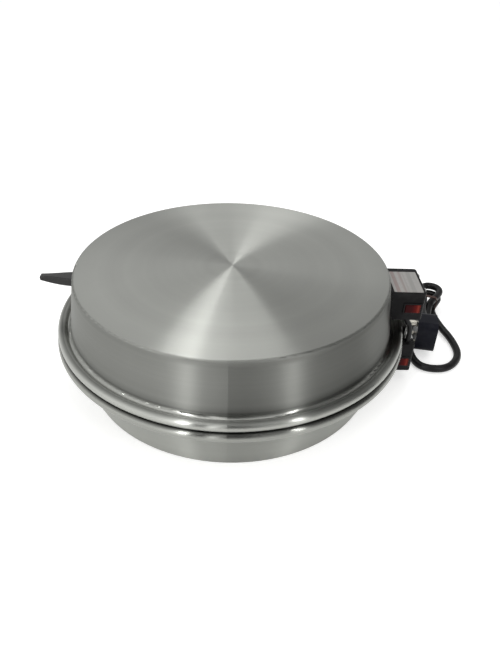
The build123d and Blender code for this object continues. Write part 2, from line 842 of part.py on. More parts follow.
with BuildPart() as hinge_pin:
    reach = hinge_half_width + 0.2
    rod_x(hinge_y, base_height, box_mid - reach, box_mid + reach, hinge_pin_radius)
    for side in (-1, 1):
        x = box_mid + side * reach
        rod_x(hinge_y, base_height, x, x + side * pin_head_height, pin_head_radius)
    fillet(hinge_pin.edges().filter_by(GeomType.CIRCLE).group_by(Axis.X)[-1], 0.6)
    fillet(hinge_pin.edges().filter_by(GeomType.CIRCLE).group_by(Axis.X)[0], 0.6)
save(hinge_pin.part, "hinge_pin")


def hinge_screws(y, head_z, way, length):
    """Two screws through a leaf's foot into the box."""
    with BuildPart() as made:
        for side in (-1, 1):
            x = box_mid + side * hinge_screw_x
            rod_z(x, y, head_z, head_z + way * hinge_screw_head_height, hinge_screw_head)
            rod_z(x, y, head_z, head_z - way * length, hinge_screw_radius)
        slot_z = head_z + way * hinge_screw_head_height
        for side in (-1, 1):
            x = box_mid + side * hinge_screw_x
            block(x - 2.2, x + 2.2, y - 0.35, y + 0.35, slot_z - way * 0.8, slot_z + way, Mode.SUBTRACT)
    return made.part


save(hinge_screws(lid_foot_screw_y, lid_foot_z, -1, leaf_sheet + box_wall - 0.1), "hinge_lid_screws")
save(hinge_screws(base_foot_screw_y, base_foot_z, 1, leaf_sheet + box_wall - 0.1), "hinge_base_screws")

# Handle: moulded tongue, its root shaped to the lid's wall
with BuildPart() as handle:
    stations = (
        (lid_top_radius - handle_root_in, handle_root, 0.0),
        (lid_top_radius + handle_root_out, handle_root, 0.0),
        (lid_top_radius + handle_waist_at, handle_waist, 0.2),
        (lid_top_radius + handle_length, handle_tip, handle_tip_rise),
    )
    for y, (width, height), rise in stations:
        with BuildSketch(Plane((0, -y, handle_z + rise), x_dir=(1, 0, 0), z_dir=(0, -1, 0))):
            RectangleRounded(width, height, handle_round)
    loft()
    fillet(handle.faces().sort_by(Axis.Y)[0].edges(), 1.0)
    pan_cutter(lid_wall, handle_z - 20, handle_z + 20)
    screw_end = -(lid_top_radius + handle_screw_depth)
    rod_y(0, handle_z, -inside_y, screw_end - 1, handle_screw_radius + 0.05, Mode.SUBTRACT)
save(handle.part, "handle")

handle_seat = seat_y(lid_wall(handle_z + 8) - sheet * 1.2, 0, washer_radius)
with BuildPart() as handle_washer:
    rod_y(0, handle_z, -handle_seat, -(handle_seat - washer_sheet), washer_radius)
    rod_y(0, handle_z, -box_end, -inside_y, handle_screw_radius + 0.2, Mode.SUBTRACT)
save(handle_washer.part, "handle_washer")

with BuildPart() as handle_screw:
    head_y = handle_seat - washer_sheet
    rod_y(0, handle_z, -head_y, screw_end, handle_screw_radius)
    rod_y(0, handle_z, -(head_y - handle_screw_head_height), -head_y, handle_screw_head)
    y = -(head_y - handle_screw_head_height)
    block(-3.4, 3.4, y - 1.0, y + 1, handle_z - 0.5, handle_z + 0.5, Mode.SUBTRACT)
save(handle_screw.part, "handle_screw")

# Wire grill: cross bars on a ring, and four legs that stand on the base
with BuildPart() as grill:
    count = int((grill_radius - grill_wire) / grill_pitch)
    for i in range(-count, count + 1):
        half = sqrt((grill_radius + grill_bar_over) ** 2 - (i * grill_pitch) ** 2)
        rod_x(i * grill_pitch, grill_z + grill_bar_lift, -half, half, grill_bar)
    for angle in grill_legs:
        a = radians(angle)
        rod_z(grill_radius * cos(a), grill_radius * sin(a), sheet, grill_z, grill_leg)
    with Locations((0, 0, grill_z)):
        Torus(grill_radius, grill_wire)
save(grill.part, "grill")

# Baking tray on the grill's bars
with BuildPart() as baking_tray:
    tray_z = grill_z + grill_bar_lift + grill_bar + seat_gap
    foot = tray_radius - tray_flare
    with BuildSketch(Plane.XZ):
        with BuildLine():
            Polyline(
                (0, tray_z),
                (foot, tray_z),
                (tray_radius, tray_z + tray_depth - tray_sheet),
                (tray_radius + tray_lip, tray_z + tray_depth - tray_sheet),
                (tray_radius + tray_lip, tray_z + tray_depth),
                (tray_radius - tray_sheet, tray_z + tray_depth),
                (foot - tray_sheet, tray_z + tray_sheet),
                (0, tray_z + tray_sheet),
                close=True,
            )
        make_face()
    revolve(axis=Axis.Z)
save(baking_tray.part, "baking_tray")

# Cord gland on the lower box's far side, with its tapered strain relief
with BuildPart() as cord_gland:
    rod_x(gland_y, gland_z, box_far, box_far - gland_flange, gland_radius)
    rod_x(gland_y, gland_z, box_far, box_far + gland_neck_depth, gland_neck)
    start = box_far - gland_flange
    with BuildSketch(Plane((start, gland_y, gland_z), z_dir=(-1, 0, 0))):
        Circle(relief_root)
    with BuildSketch(Plane((start - relief_length, gland_y, gland_z), z_dir=(-1, 0, 0))):
        Circle(cord_radius + relief_wall)
    loft()
    bore = cord_radius + cord_clearance
    rod_x(gland_y, gland_z, start - relief_length - 5, box_far + 10, bore, Mode.SUBTRACT)
save(cord_gland.part, "cord_gland")


def tube_checked(name, wire, made):
    """Prints a tube's length and how its volume compares with section times length."""
    share = made.volume / (pi * cord_radius**2 * wire.length)
    print(name, "length", round(wire.length, 1), "volume share", round(share, 4))


# Bundle of cord on the table: two narrow turns and one wide one, drawn in at the tie
low, mid, high = cord_lie, cord_lie + layer, cord_lie + 2 * layer
straight = far_fold - fold_radius
near_straight = near_fold + fold_radius
climb = layer / (straight - near_straight)
waist_rise = climb * (waist_at - near_straight) + tie_lift
fold = fold_radius
w = waist_half
stations = [
    bundle_point(straight - 5, -fold, low, 180),
    bundle_point(waist_at, -w, low + tie_lift, 180),
    (-48.0, box_end + 16.0, low, -15.0, 0.0),
    (-14.0, box_end + 13.0, low, 10.0, 0.0),
    (9.5, box_end + 35.0, low, 90.0, 0.0),
    (-38.0, box_end + 67.5, low, 180.0, 0.0),
    bundle_point(waist_at, w, low + waist_rise, 0, climb),
    bundle_point(straight, fold, mid, 0),
    bundle_point(far_fold, 0, mid, 90),
    bundle_point(straight, -fold, mid, 180),
    bundle_point(waist_at, -w, mid + tie_lift, 180),
    bundle_point(near_straight, -fold, mid, 180),
    bundle_point(near_fold, 0, mid, -90),
    bundle_point(near_straight, fold, mid, 0),
    bundle_point(waist_at, w, mid + waist_rise, 0, climb),
    bundle_point(straight, fold, high, 0),
    bundle_point(far_fold, 0, high, 90),
    bundle_point(straight, -fold, high, 180),
    bundle_point(waist_at, -w, high + tie_lift, 180),
]
with BuildPart() as cord_hank:
    with BuildLine() as route:
        places = [(Vector(x, y, z), direction_of(h, s)) for x, y, z, h, s in stations]
        first, first_way = places[0]
        hank_start = first - first_way * 2 * cord_radius
        Line(hank_start, first)
        for (p0, t0), (p1, t1) in zip(places, places[1:]):
            biarc(p0, t0, p1, t1)
        last, last_way = places[-1]
        hank_end = last + last_way * 2 * cord_radius
        Line(last, hank_end)
    with BuildSketch(Plane(hank_start, z_dir=first_way)):
        Circle(cord_radius)
    sweep(path=route.wire())
hank_wire = route.wire()
tube_checked("cord_hank", hank_wire, cord_hank.part)
samples = 700
spots = [hank_wire.position_at(i / samples) for i in range(samples + 1)]
apart = int(samples * 4 * cord_radius / hank_wire.length) + 1
gap = min(
    (spots[i] - spots[j]).length
    for i in range(samples + 1)
    for j in range(i + apart, samples + 1)
)
print("cord_hank least gap to itself", round(gap - 2 * cord_radius, 2))
save(cord_hank.part, "cord_hank")

# Free stretch from the gland, down to the table and round into the bundle
exit_points = [
    (box_far + gland_neck_depth, gland_y, gland_z),
    (-72.0, gland_y, gland_z),
    (-109.0, box_end - 16.0, cord_lie),
    (-140.0, box_end - 14.0, cord_lie),
    (-166.0, box_end - 12.4, cord_lie),
    (-185.0, box_end + 4.0, cord_lie),
    (-189.5, box_end + 31.0, cord_lie),
    (-176.0, box_end + 54.0, cord_lie),
    tuple(hank_start - first_way * 18),
    tuple(hank_start),
]
with BuildPart() as mains_cord:
    with BuildLine() as route:
        FilletPolyline(*exit_points, radius=corner_radii(exit_points))
    with BuildSketch(Plane(exit_points[0], z_dir=(-1, 0, 0))):
        Circle(cord_radius)
    sweep(path=route.wire())
tube_checked("mains_cord", route.wire(), mains_cord.part)
print("mains_cord radii", [round(r, 1) for r in corner_radii(exit_points)])
save(mains_cord.part, "mains_cord")

# Plug, lying on the wide turn of the bundle, its pins away from the front
plug_way = direction_of(plug_angle, 0)
plug_side = direction_of(plug_angle - 90, 0)
plug_mid = Vector(plug_x, plug_y, plug_low + plug_height / 2)
plug_mouth = plug_mid + plug_way * (plug_length / 2 + plug_relief)
plug_back = Plane(plug_mid + plug_side * (plug_thick / 2), x_dir=-plug_way, z_dir=-plug_side)
with BuildPart() as mains_plug:
    with BuildSketch(plug_back):
        RectangleRounded(plug_length, plug_height, plug_round)
    extrude(amount=plug_thick)
    relief_at = plug_mid + plug_way * (plug_length / 2 - 2)
    with BuildSketch(Plane(relief_at, z_dir=plug_way)):
        Circle(plug_relief_root)
    with BuildSketch(Plane(plug_mouth, z_dir=plug_way)):
        Circle(cord_radius + relief_wall)
    loft()
save(mains_plug.part, "mains_plug")

with BuildPart() as plug_pins:
    face = plug_mid - plug_side * (plug_thick / 2)
    low_pins = plug_mid.Z - plug_height / 2 + plug_pin_low
    spots = (
        (-plug_pin_spacing, low_pins, plug_pin_radius),
        (plug_pin_spacing, low_pins, plug_pin_radius),
        (0.0, plug_low + plug_earth_high, earth_pin_radius),
    )
    for along, z, radius in spots:
        foot = Vector(face.X, face.Y, z) + plug_way * along
        with BuildSketch(Plane(foot, z_dir=-plug_side)):
            Circle(radius)
        extrude(amount=plug_pin_length)
    tips = plug_pins.edges().filter_by(GeomType.CIRCLE).group_by(Axis.Y)[0]
    fillet(tips, 0.8)
save(plug_pins.part, "plug_pins")

# Last stretch of cord, from the bundle to the plug
plug_points = [
    tuple(hank_end),
    tuple(hank_end + last_way * 12),
    tuple(plug_mouth + plug_way * 12),
    tuple(plug_mouth),
]
with BuildPart() as plug_cord:
    with BuildLine() as route:
        FilletPolyline(*plug_points, radius=corner_radii(plug_points))
    with BuildSketch(Plane(hank_end, z_dir=last_way)):
        Circle(cord_radius)
    sweep(path=route.wire())
tube_checked("plug_cord", route.wire(), plug_cord.part)
print("plug_cord radii", [round(r, 1) for r in corner_radii(plug_points)])
save(plug_cord.part, "plug_cord")

# Band that ties the bundle at its waist
with BuildPart() as cord_tie:
    way = direction_of(bundle_angle, 0)
    x, y, _, _, _ = bundle_point(waist_at - tie_width / 2, 0, 0, 0)
    bottom = table_gap
    top = high + tie_lift + cord_radius + tie_clearance + tie_sheet
    half = waist_half + cord_radius + tie_clearance + tie_sheet
    with BuildSketch(Plane((x, y, (top + bottom) / 2), x_dir=(0, 0, 1), z_dir=way)):
        RectangleRounded(top - bottom, 2 * half, cord_radius)
        inner = cord_radius - tie_sheet
        RectangleRounded(
            top - bottom - 2 * tie_sheet, 2 * half - 2 * tie_sheet, inner, mode=Mode.SUBTRACT
        )
    extrude(amount=tie_width)
save(cord_tie.part, "cord_tie")
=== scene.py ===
import bpy
import json
from math import cos, pi, radians, sin
from mathutils import Matrix, Vector


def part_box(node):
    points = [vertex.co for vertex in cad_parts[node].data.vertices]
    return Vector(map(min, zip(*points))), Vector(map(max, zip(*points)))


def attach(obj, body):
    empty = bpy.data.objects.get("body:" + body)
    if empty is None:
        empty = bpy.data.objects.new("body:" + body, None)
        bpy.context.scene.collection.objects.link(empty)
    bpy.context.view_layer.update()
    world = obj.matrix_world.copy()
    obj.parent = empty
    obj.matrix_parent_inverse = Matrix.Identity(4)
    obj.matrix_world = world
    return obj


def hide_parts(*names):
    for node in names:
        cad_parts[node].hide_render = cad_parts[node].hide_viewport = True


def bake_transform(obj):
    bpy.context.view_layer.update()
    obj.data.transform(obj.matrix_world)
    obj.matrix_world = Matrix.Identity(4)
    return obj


# Lengths are in metres where nothing else is said
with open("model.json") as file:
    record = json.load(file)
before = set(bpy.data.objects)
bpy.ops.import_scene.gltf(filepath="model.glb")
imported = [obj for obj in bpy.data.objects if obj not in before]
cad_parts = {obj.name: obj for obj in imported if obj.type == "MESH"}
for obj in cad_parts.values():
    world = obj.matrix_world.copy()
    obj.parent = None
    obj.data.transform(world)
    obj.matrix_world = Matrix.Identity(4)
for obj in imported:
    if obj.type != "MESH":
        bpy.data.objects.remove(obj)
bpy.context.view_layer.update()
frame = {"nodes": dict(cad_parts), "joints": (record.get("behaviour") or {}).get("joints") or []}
nodes = frame["nodes"]
scene = bpy.context.scene

# The height of the hinge, where the two pans meet, and the lid's full height
seam = frame["joints"][0]["pos_m"][2]
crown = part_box("lid_pan")[1].z

# Camera at the photograph's viewing angle
eye = Vector((0.5297, 0.0088, 0.4148))
right = Vector((0.0, 0.99959, 0.02878)).normalized()
back = Vector((0.81627, -0.01662, 0.57743)).normalized()
up = back.cross(right).normalized()
right = up.cross(back)
camera_data = bpy.data.cameras.new("camera")
camera_data.sensor_fit = "HORIZONTAL"
camera_data.sensor_width = 36.0
camera_data.lens = 43.34
camera_data.clip_start = 0.01
camera = bpy.data.objects.new("camera", camera_data)
camera.matrix_world = Matrix((
    (right.x, up.x, back.x, eye.x),
    (right.y, up.y, back.y, eye.y),
    (right.z, up.z, back.z, eye.z),
    (0, 0, 0, 1),
))
scene.collection.objects.link(camera)
scene.camera = camera
scene.view_settings.view_transform = "Standard"


def greys(stops, span=1.0):
    """Stops of a grey ramp, from pairs of a place along span and a value."""
    return [(place / span, (value, value, value)) for place, value in stops]


def varied(colour, share):
    """The darkest and the palest tone of a colour that varies by a share of itself."""
    dark = tuple(c * (1.0 - share) for c in colour)
    pale = tuple(min(1.0, c * (1.0 + share)) for c in colour)
    return dark, pale


class Tree:
    """A node tree being built."""

    def __init__(self, tree):
        self.tree = tree

    def node(self, kind, **values):
        made = self.tree.nodes.new(kind)
        for key, value in values.items():
            if key in made.inputs:
                made.inputs[key].default_value = value
            else:
                setattr(made, key, value)
        return made

    def link(self, source, socket):
        self.tree.links.new(source, socket)

    def axes(self, source):
        """The outputs X, Y and Z of a vector."""
        made = self.node("ShaderNodeSeparateXYZ")
        self.link(source, made.inputs[0])
        return made.outputs

    def math(self, operation, *values):
        """A calculation whose values are numbers or outputs of other nodes."""
        made = self.node("ShaderNodeMath", operation=operation)
        for socket, value in zip(made.inputs, values):
            if isinstance(value, (int, float)):
                socket.default_value = value
            else:
                self.link(value, socket)
        return made.outputs[0]

    def ramp(self, source, stops):
        """A colour ramp, from pairs of a place between 0 and 1 and a colour."""
        made = self.node("ShaderNodeValToRGB")
        elements = made.color_ramp.elements
        while len(elements) < len(stops):
            elements.new(0.5)
        for element, (place, colour) in zip(elements, stops):
            element.position = place
            element.color = (*colour, 1.0)
        self.link(source, made.inputs["Fac"])
        return made.outputs["Color"]


class Mat(Tree):
    """A node material being built round one Principled shader."""

    def __init__(self, name, **sockets):
        self.material = bpy.data.materials.new(name)
        self.material.use_nodes = True
        super().__init__(self.material.node_tree)
        self.shader = self.tree.nodes["Principled BSDF"]
        for key, value in sockets.items():
            self.shader.inputs[key.replace("_", " ")].default_value = value

    def set(self, key, source):
        self.link(source, self.shader.inputs[key])

    def position(self):
        return self.node("ShaderNodeTexCoord").outputs["Object"]

    def paired(self, x, y):
        """A vector from two outputs, with a Z of 0."""
        made = self.node("ShaderNodeCombineXYZ")
        self.link(x, made.inputs["X"])
        self.link(y, made.inputs["Y"])
        return made.outputs[0]

    def stretched(self, source, scale):
        made = self.node("ShaderNodeMapping")
        made.inputs["Scale"].default_value = scale
        self.link(source, made.inputs["Vector"])
        return made.outputs["Vector"]

    def noise(self, source, scale, detail=3.0, roughness=0.5):
        made = self.node("ShaderNodeTexNoise", Scale=scale, Detail=detail, Roughness=roughness)
        self.link(source, made.inputs["Vector"])
        return made.outputs["Fac"]

    def between(self, source, low, high, new_low=0.0, new_high=1.0):
        """A value carried from one range to another, and kept inside it."""
        made = self.node("ShaderNodeMapRange")
        ends = {"From Min": low, "From Max": high, "To Min": new_low, "To Max": new_high}
        for key, value in ends.items():
            made.inputs[key].default_value = value
        self.link(source, made.inputs["Value"])
        return made.outputs["Result"]

    def mix(self, factor, a, b):
        """A blend of two colours, each a tuple or an output of another node."""
        made = self.node("ShaderNodeMix", data_type="RGBA")
        self.link(factor, made.inputs["Factor"])
        for socket, value in ((made.inputs["A"], a), (made.inputs["B"], b)):
            if isinstance(value, tuple):
                socket.default_value = (*value, 1.0)
            else:
                self.link(value, socket)
        return made.outputs["Result"]

    def bump(self, height, strength, depth):
        made = self.node("ShaderNodeBump", Strength=strength, Distance=depth)
        self.link(height, made.inputs["Height"])
        self.set("Normal", made.outputs["Normal"])


grain_depth = 0.0002  # of the bump of fine grain and turned rings
rib_depth = 0.0003  # of the bump of the lamp windows' ribs
lens_edge = 0.00025  # at each end of a lamp window, where its tint no longer changes
pink_from = 0.016  # from the plate's side by the pan, where it begins to turn pinkish
pink_full = 0.009  # from the same side, where it is fully so
pan_span = 0.125  # of heights that the pans' finish and painted shade are given over
# Colour of the painted shade on the pans' outsides
painted_shade_colour = (0.03, 0.03, 0.028)
dull_share = 0.82  # of its colour that cloudy metal keeps
broad_share = 0.06  # of the fine rings' scale that the broad rings have
scuff_grey = 0.5
scuff_share = 0.03  # of the way from the moulding's colour to that grey


def turned_metal(name, colour, finish, painted_shade, ring_scale, wear):
    """Aluminium turned on a lathe, with fine rings about the pans' axis.

    finish gives pairs of a height above the table and a roughness, and the next argument gives
    pairs of a height and a share of painted shade, dark lines and bands by height. The painted
    shade lies on the outside only.
    """
    m = Mat(name, Metallic=1.0, Anisotropic=1.0, Anisotropic_Rotation=0.25)
    tangent = m.node("ShaderNodeTangent", direction_type="RADIAL", axis="Z")
    m.set("Tangent", tangent.outputs["Tangent"])
    place = m.position()
    axes = m.axes(place)
    flat = m.paired(axes["X"], axes["Y"])
    radius = m.node("ShaderNodeVectorMath", operation="LENGTH")
    m.link(flat, radius.inputs[0])
    rings = m.paired(radius.outputs["Value"], axes["Z"])
    fine = m.noise(rings, scale=ring_scale, detail=4.0, roughness=0.7)
    broad = m.noise(rings, scale=ring_scale * broad_share, detail=3.0, roughness=0.6)
    cloud = m.noise(place, scale=14.0, detail=4.0, roughness=0.6)
    base = m.mix(m.between(broad, 0.3, 0.7), *varied(colour, wear))
    dull_colour = tuple(c * dull_share for c in colour)
    dull = m.mix(m.between(cloud, 0.35, 0.75, 0.0, 0.22), base, dull_colour)
    height = m.between(axes["Z"], 0.0, pan_span)
    # Painted shade by height, darkest in lines where the rims meet and under the beads; only
    # outward-facing surfaces take it
    shade_by_height = m.ramp(height, greys(painted_shade, pan_span))
    facing = m.node("ShaderNodeVectorMath", operation="DOT_PRODUCT")
    m.link(flat, facing.inputs[0])
    m.link(m.node("ShaderNodeNewGeometry").outputs["Normal"], facing.inputs[1])
    outside = m.between(facing.outputs["Value"], -0.03, 0.0)
    m.set("Base Color", m.mix(m.math("MULTIPLY", outside, shade_by_height), dull, painted_shade_colour))
    by_height = m.ramp(height, greys(finish, pan_span))
    uneven = m.between(fine, 0.25, 0.75, 0.94, 1.06)
    m.set("Roughness", m.math("MULTIPLY", by_height, uneven))
    m.bump(fine, strength=0.02, depth=grain_depth)
    return m.material


def metal(name, colour, roughness, grain=(60.0, 60.0, 60.0), wear=0.08):
    """Plain worked metal with a fine grain and a little variation."""
    m = Mat(name, Metallic=1.0)
    place = m.position()
    fine = m.noise(m.stretched(place, grain), scale=30.0, detail=3.0, roughness=0.6)
    cloud = m.noise(place, scale=60.0)
    m.set("Base Color", m.mix(cloud, *varied(colour, wear)))
    m.set("Roughness", m.between(fine, 0.2, 0.8, roughness * 0.8, roughness * 1.2))
    m.bump(fine, strength=0.08, depth=grain_depth)
    return m.material


def moulded(name, colour, roughness, grain=900.0, strength=0.12, specular=0.5):
    """Moulded plastic with a fine grain, and scuffs that are a little paler and duller."""
    m = Mat(name, Specular_IOR_Level=specular)
    place = m.position()
    fine = m.noise(place, scale=grain, detail=2.0)
    cloud = m.noise(place, scale=45.0, detail=4.0, roughness=0.6)
    scuffed = tuple(c + (scuff_grey - c) * scuff_share for c in colour)
    m.set("Base Color", m.mix(m.between(cloud, 0.45, 0.8), colour, scuffed))
    dullest = min(1.0, roughness * 1.2)
    m.set("Roughness", m.between(cloud, 0.3, 0.75, roughness * 0.85, dullest))
    m.bump(fine, strength, depth=grain_depth)
    return m.material


def lamp_window():
    """Red lens with faint ribs, paler at the end where the bulb sits behind it."""
    m = Mat("red_lens", Roughness=0.3, IOR=1.49, Specular_IOR_Level=0.06)
    place = m.position()
    low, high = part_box("upper_lamp_lens")
    along = m.between(m.axes(place)["Y"], low.y + lens_edge, high.y - lens_edge)
    m.set("Base Color", m.ramp(along, [
        (0.0, (0.026, 0.002, 0.003)), (0.45, (0.038, 0.003, 0.004)),
        (0.72, (0.10, 0.007, 0.006)), (0.86, (0.20, 0.030, 0.020)), (1.0, (0.05, 0.004, 0.004)),
    ]))
    ribs = m.node("ShaderNodeTexWave", wave_type="BANDS", bands_direction="Y", Scale=320.0)
    m.link(place, ribs.inputs["Vector"])
    m.bump(ribs.outputs["Fac"], strength=0.25, depth=rib_depth)
    return m.material


def pale_paint():
    """Pale paint with faint upright bands and specks, pinkish towards the pan."""
    m = Mat("pale_plate", Roughness=0.45, Specular_IOR_Level=0.3)
    place = m.position()
    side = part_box("cover_plate")[0].y
    near_pan = m.between(m.axes(place)["Y"], side + pink_full, side + pink_from, 1.0, 0.0)
    bands = m.noise(m.stretched(place, (3.0, 260.0, 1.0)), scale=1.0, detail=1.0, roughness=0.3)
    specks = m.noise(m.stretched(place, (240.0, 300.0, 1.0)), scale=1.0, detail=2.0, roughness=0.7)
    tinted = m.mix(near_pan, (0.20, 0.20, 0.19), (0.19, 0.105, 0.10))
    banded = m.mix(m.between(bands, 0.42, 0.55, 0.0, 0.55), (0.30, 0.292, 0.28), tinted)
    specked = m.mix(m.between(specks, 0.5, 0.66, 0.0, 0.5), banded, (0.25, 0.24, 0.23))
    m.set("Base Color", specked)
    return m.material


pan_metal = turned_metal(
    "turned_aluminium", (0.36, 0.366, 0.343),
    finish=[
        (seam, 0.27), (seam + 0.0085, 0.28), (seam + 0.011, 0.54), (crown - 0.0065, 0.54),
        (crown - 0.004, 0.75), (crown - 0.0004, 0.75), (crown - 0.0001, 0.245),
    ],
    # Painted shade: a dark line where the rims meet, a dark line in the cove at the foot of the
    # wall, and a lighter shade over the whole wall
    painted_shade=[
        (seam + 0.0005, 1.0), (seam + 0.0025, 0.0), (seam + 0.008, 0.0), (seam + 0.0108, 0.6),
        (seam + 0.0125, 0.42), (seam + 0.018, 0.28), (crown - 0.0025, 0.28),
        (crown - 0.0003, 0.0),
    ],
    ring_scale=900.0, wear=0.04,
)
base_metal = turned_metal(
    "spun_aluminium", (0.285, 0.29, 0.27),
    finish=[(seam - 0.016, 0.40), (seam - 0.012, 0.26), (seam, 0.26)],
    # Painted shade: a dark line under the base's bead and another where the rims meet
    painted_shade=[
        (seam - 0.018, 0.0), (seam - 0.0115, 0.5), (seam - 0.0095, 0.0), (seam - 0.0025, 0.0),
        (seam - 0.0002, 1.0),
    ],
    ring_scale=700.0, wear=0.04,
)
heater_metal = metal("heater_sheath", (0.17, 0.155, 0.145), 0.55, wear=0.25)
steel = metal("zinc_plated_steel", (0.50, 0.50, 0.485), 0.36)
rivet_metal = metal("rivet_aluminium", (0.66, 0.66, 0.64), 0.38)
bright_wire = metal("plated_wire", (0.66, 0.66, 0.65), 0.20, wear=0.05)
tray_metal = metal("tray_aluminium", (0.56, 0.56, 0.54), 0.36, grain=(20.0, 20.0, 20.0))
brass = metal("brass", (0.72, 0.55, 0.27), 0.30)
pin_metal = metal("plated_brass", (0.62, 0.59, 0.52), 0.30)
ceramic = moulded("ceramic", (0.74, 0.71, 0.64), 0.45, grain=400.0)
black_moulding = moulded(
    "black_moulding", (0.0075, 0.0072, 0.0078), 0.42, grain=1400.0, strength=0.06, specular=0.07)
handle_moulding = moulded(
    "handle_moulding", (0.008, 0.0078, 0.0072), 0.26, grain=500.0, strength=0.03, specular=0.35)
black_gloss = moulded("black_gloss", (0.007, 0.0065, 0.007), 0.25, strength=0.03, specular=0.09)
wire_sleeve = moulded("wire_sleeve", (0.66, 0.64, 0.56), 0.6, grain=1500.0, strength=0.3)
gland_rubber = moulded("gland_rubber", (0.010, 0.010, 0.011), 0.5, specular=0.25)
cord_sleeve = moulded(
    "cord_sleeve", (0.0065, 0.0063, 0.0068), 0.38, grain=700.0, strength=0.1, specular=0.18)
plug_moulding = moulded(
    "plug_moulding", (0.0065, 0.007, 0.0115), 0.34, grain=900.0, strength=0.05, specular=0.07)
tie_strip = moulded("tie_strip", (0.045, 0.018, 0.013), 0.45, specular=0.3)
red_lens = lamp_window()
bulb_glass = Mat("neon_bulb", Roughness=0.08, Base_Color=(0.85, 0.45, 0.28, 1.0)).material
plate_paint = pale_paint()

# Pieces that the lid and the base each have one of, and the other pieces
twin_finishes = {
    "element": heater_metal, "element_clips": steel, "bushings": ceramic, "bushing_nuts": steel,
    "box_body": black_moulding, "box_cover": black_moulding, "box_screws": steel,
    "cover_screws": steel, "lamp_bezel": black_gloss, "lamp_lens": red_lens,
    "lamp_bulb": bulb_glass, "terminal_block": ceramic, "terminal_screws": brass,
    "wires": wire_sleeve,
}
finishes = {
    "lid_pan": pan_metal, "base_pan": base_metal, "clip_rivets": rivet_metal,
    "grill": bright_wire, "baking_tray": tray_metal, "cover_plate": plate_paint,
    "hinge_base_leaf": steel, "hinge_lid_leaf": steel, "hinge_pin": steel,
    "hinge_base_screws": steel, "hinge_lid_screws": steel, "handle": handle_moulding,
    "handle_screw": steel, "handle_washer": steel, "cord_gland": gland_rubber,
    "cord_tie": tie_strip, "mains_plug": plug_moulding, "plug_pins": pin_metal,
}
for name, finish in twin_finishes.items():
    finishes["lower_" + name] = finishes["upper_" + name] = finish
for name, finish in finishes.items():
    data = nodes[name].data
    data.materials.clear()
    data.materials.append(finish)

# Cord: its radius, its gaps to the table and between layers, and the heights of its line
cord_radius = 0.00425
table_gap = 0.0001
layer_gap = 0.0013
cord_lie = cord_radius + table_gap  # on the table
layer = 2 * cord_radius + layer_gap  # from one layer of the bundle to the next
tie_lift = 0.0013  # where the tie is under it
waist_climb = 0.0055  # of a leg that climbs a layer, when it has come to the tie

# The tied bundle: places along it and half its width there, in millimetres
bundle = Vector((-0.084, 0.234, 0.0))
angle = radians(160.0)
along_bundle = Vector((cos(angle), sin(angle), 0.0))
across_bundle = Vector((sin(angle), -cos(angle), 0.0))
waist_at = 18.0
waist_half = 5.1
neck_at = 33.0
neck_half = 9.0
near_neck_at = -4.0
near_neck_half = 5.6
near_end = -32.0
near_half = 11.5
far_half = 12.0
fold_depth = 9.0


def in_bundle(u, v, z):
    """A point u millimetres along the bundle and v across it, z metres above the table."""
    return bundle + along_bundle * (u / 1000) + across_bundle * (v / 1000) + Vector((0, 0, z))


def nurbs(name, points, radius, resolution=12):
    """A round cord on one smooth line, with the points as its control points."""
    data = bpy.data.curves.new(name, "CURVE")
    data.dimensions = "3D"
    data.bevel_depth = radius
    data.bevel_resolution = 6
    data.resolution_u = resolution
    spline = data.splines.new("NURBS")
    spline.points.add(len(points) - 1)
    for control, point in zip(spline.points, points):
        control.co = (*point, 1.0)
    spline.order_u = 3
    spline.use_endpoint_u = True
    made = bpy.data.objects.new(name, data)
    scene.collection.objects.link(made)
    return made


# The cord's route: out of the gland, down to the table, into the bundle and round a wide loop
route = [
    (-0.0225, 0.176, 0.032),
    (-0.046, 0.176, 0.032),
    (-0.072, 0.176, 0.032),
    (-0.109, 0.175, cord_lie),
    (-0.140, 0.177, cord_lie),
    (-0.166, 0.1786, cord_lie),
    (-0.185, 0.195, cord_lie),
    (-0.1895, 0.222, cord_lie),
    (-0.176, 0.245, cord_lie),
    (-0.1521, 0.2487, cord_lie),
    in_bundle(40.0, -9.5, cord_lie),
    in_bundle(waist_at, -waist_half, cord_lie + tie_lift),
    (-0.068, 0.2125, cord_lie),
    (-0.040, 0.2045, cord_lie),
    (-0.005, 0.2035, cord_lie),
    (0.0095, 0.214, cord_lie),
    (0.0092, 0.240, cord_lie),
    (-0.014, 0.2590, cord_lie),
    (-0.045, 0.2590, cord_lie + 0.0006),
    (-0.072, 0.2495, cord_lie + 0.003),
    in_bundle(waist_at, waist_half, cord_lie + waist_climb + tie_lift),
]

# Its far fold in each of two more layers, and between them its near fold
for turn, far_end, aside in ((1, 54.0, -3.0), (2, 56.0, 0.0)):
    level = cord_lie + turn * layer
    route += [
        in_bundle(neck_at, neck_half, level - 0.0010),
        in_bundle(far_end - fold_depth, far_half, level),
        in_bundle(far_end, far_half / 2, level),
        in_bundle(far_end, -far_half / 2, level),
        in_bundle(far_end - fold_depth, -far_half, level),
        in_bundle(neck_at, -neck_half, level + 0.0004),
        in_bundle(waist_at, aside - waist_half, level + tie_lift),
    ]
    if turn == 1:
        route += [
            in_bundle(near_neck_at, aside - near_neck_half, level + 0.0002),
            in_bundle(near_end + fold_depth, aside - near_half, level),
            in_bundle(near_end, aside - near_half / 2, level),
            in_bundle(near_end, aside + near_half / 2, level),
            in_bundle(near_end + fold_depth, aside + near_half, level),
            in_bundle(near_neck_at, aside + near_neck_half, level + 0.0020),
            in_bundle(waist_at, aside + waist_half, level + waist_climb + tie_lift),
        ]

